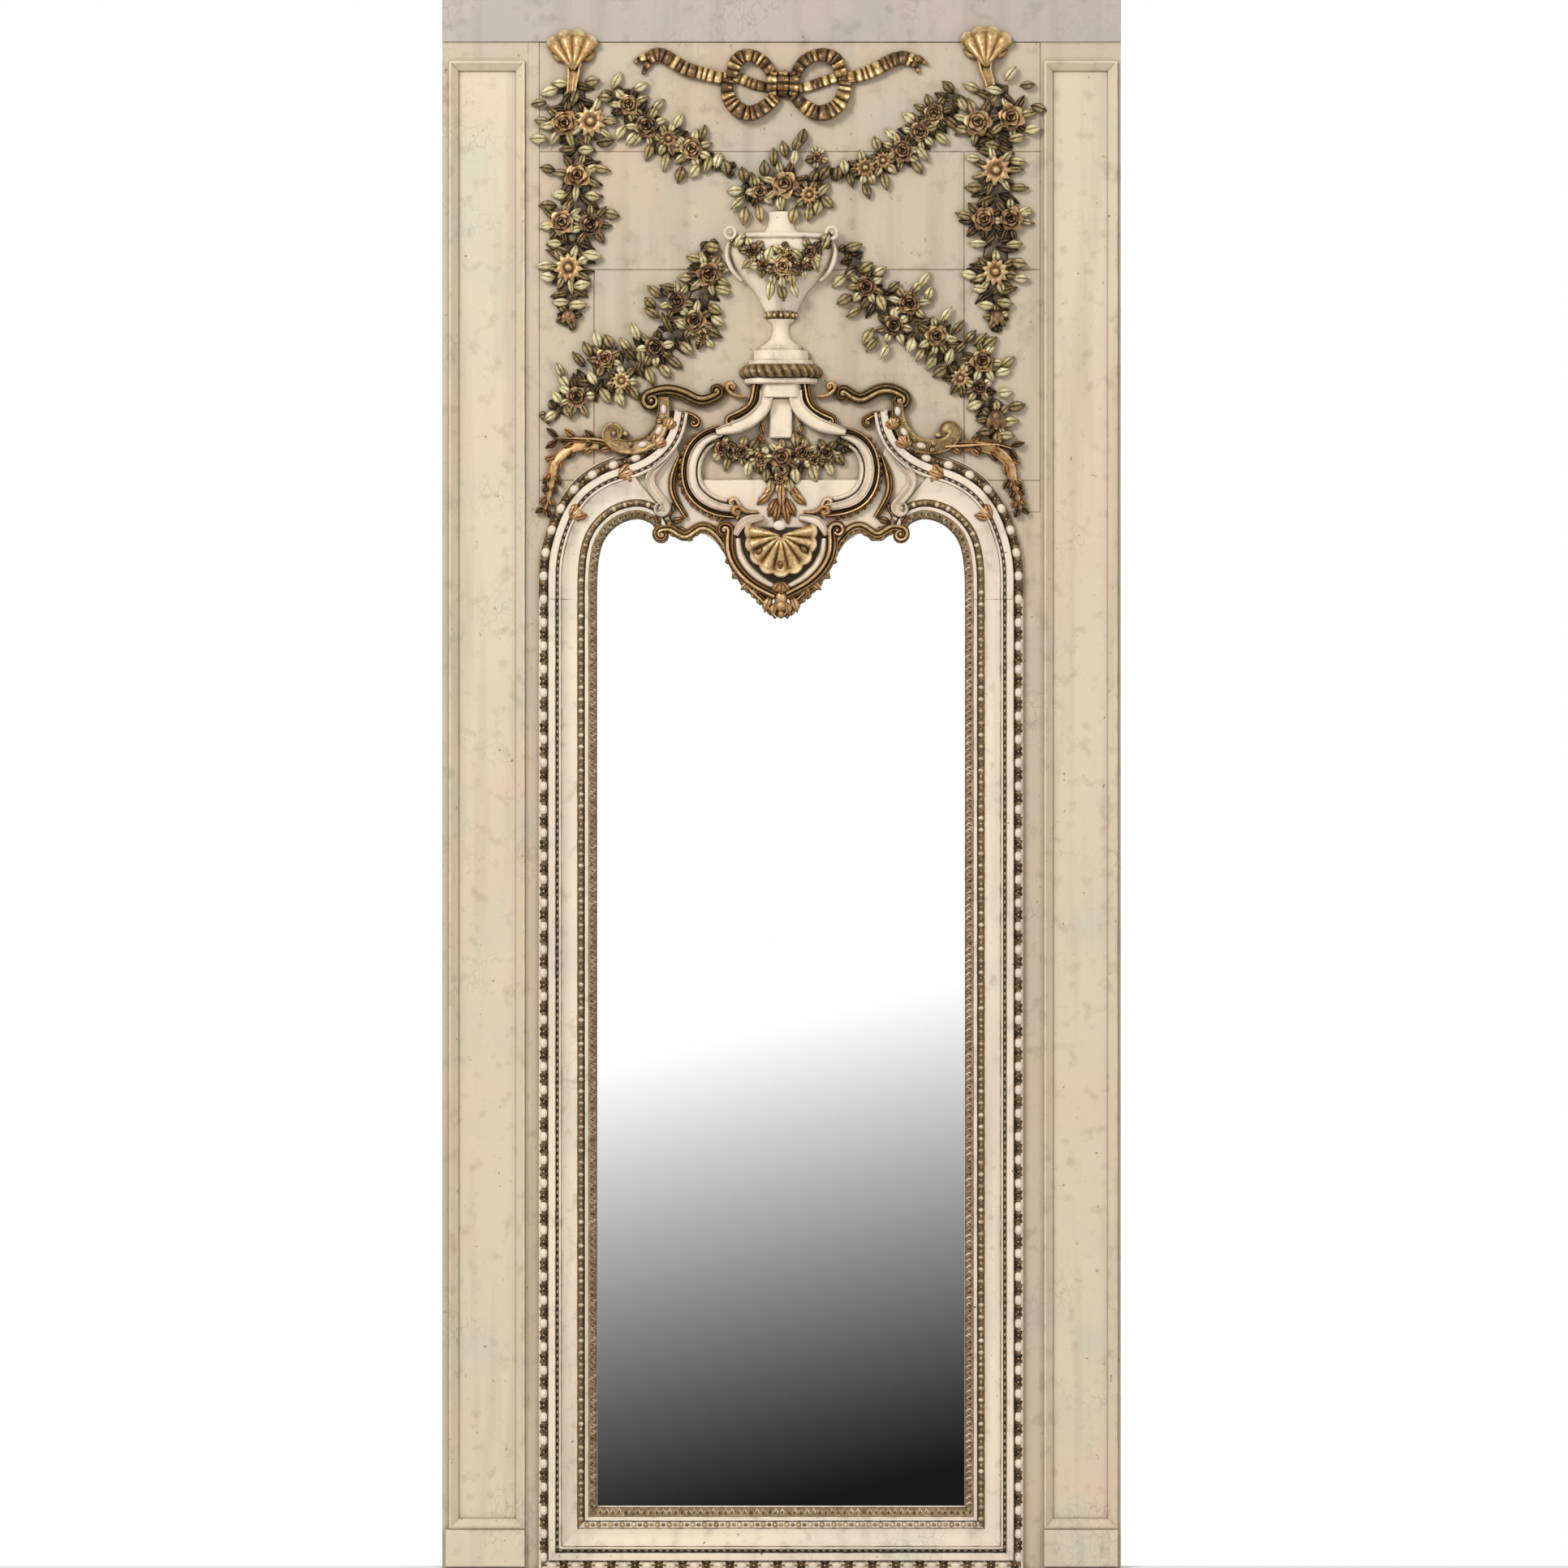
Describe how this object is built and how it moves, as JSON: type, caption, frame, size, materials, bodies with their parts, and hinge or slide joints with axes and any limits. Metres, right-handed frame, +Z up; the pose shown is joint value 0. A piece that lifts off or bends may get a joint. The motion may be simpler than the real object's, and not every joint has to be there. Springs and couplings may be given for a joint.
{
  "type": "trumeau mirror",
  "caption": "Tall boarded wall panel with a moulded, painted and parcel-gilt frame round an arched mirror plate, under carved garlands, an urn and a ribbon bow.",
  "frame": {"origin": "middle of the foot of the panel's back, in the wall plane", "axes": "+Z up, front faces -Y, +X to the right as seen from the front"},
  "size_m": [1.2, 0.114, 2.776],
  "materials": {
    "cream_paint": "aged cream paint on carved wood",
    "grey_paint": "aged grey paint on a plain board",
    "old_gilding": "worn gilding on carved wood",
    "bronzed_gilding": "dark bronzed gilding on carved wood",
    "bare_wood": "bare sawn wood",
    "silvered_glass": "polished, silvered at the back",
    "hanger_steel": "plain steel plate"
  },
  "bodies": {
    "root": {"backboard": "bare_wood", "bouquet": "bronzed_gilding", "bow_knot": "old_gilding", "cartouche_frame": "old_gilding", "cartouche_shell": "old_gilding", "crest_pedestal": "cream_paint", "crest_swag": "bronzed_gilding", "foot_batten": "bare_wood", "foot_ledge": "bare_wood", "frieze_board": "grey_paint", "head_batten": "bare_wood", "head_board": "cream_paint", "left_arch_inner_moulding": "cream_paint", "left_arch_outer_moulding": "cream_paint", "left_batten": "bare_wood", "left_bow": "old_gilding", "left_c_scroll": "cream_paint", "left_drop": "bronzed_gilding", "left_jamb": "cream_paint", "left_liner": "cream_paint", "left_panel_moulding": "cream_paint", "left_pilaster_panel": "cream_paint", "left_pilaster_shell": "old_gilding", "left_plinth_block": "cream_paint", "left_s_scroll": "bronzed_gilding", "left_shoulder_block": "cream_paint", "left_stile": "cream_paint", "left_top_swag": "bronzed_gilding", "left_urn_garland": "bronzed_gilding", "left_wall_hanger": "hanger_steel", "lower_field_board": "cream_paint", "middle_field_board": "cream_paint", "middle_ledge": "bare_wood", "mirror_glass": "silvered_glass", "right_arch_inner_moulding": "cream_paint", "right_arch_outer_moulding": "cream_paint", "right_batten": "bare_wood", "right_bow": "old_gilding", "right_c_scroll": "cream_paint", "right_drop": "bronzed_gilding", "right_jamb": "cream_paint", "right_liner": "cream_paint", "right_panel_moulding": "cream_paint", "right_pilaster_panel": "cream_paint", "right_pilaster_shell": "old_gilding", "right_plinth_block": "cream_paint", "right_s_scroll": "bronzed_gilding", "right_shoulder_block": "cream_paint", "right_stile": "cream_paint", "right_top_swag": "bronzed_gilding", "right_urn_garland": "bronzed_gilding", "right_wall_hanger": "hanger_steel", "sill": "cream_paint", "top_ledge": "bare_wood", "upper_field_board": "cream_paint", "urn_bowl": "cream_paint", "urn_festoon": "bronzed_gilding", "urn_foot": "cream_paint", "urn_plinth": "cream_paint"}
  },
  "joints": []
}
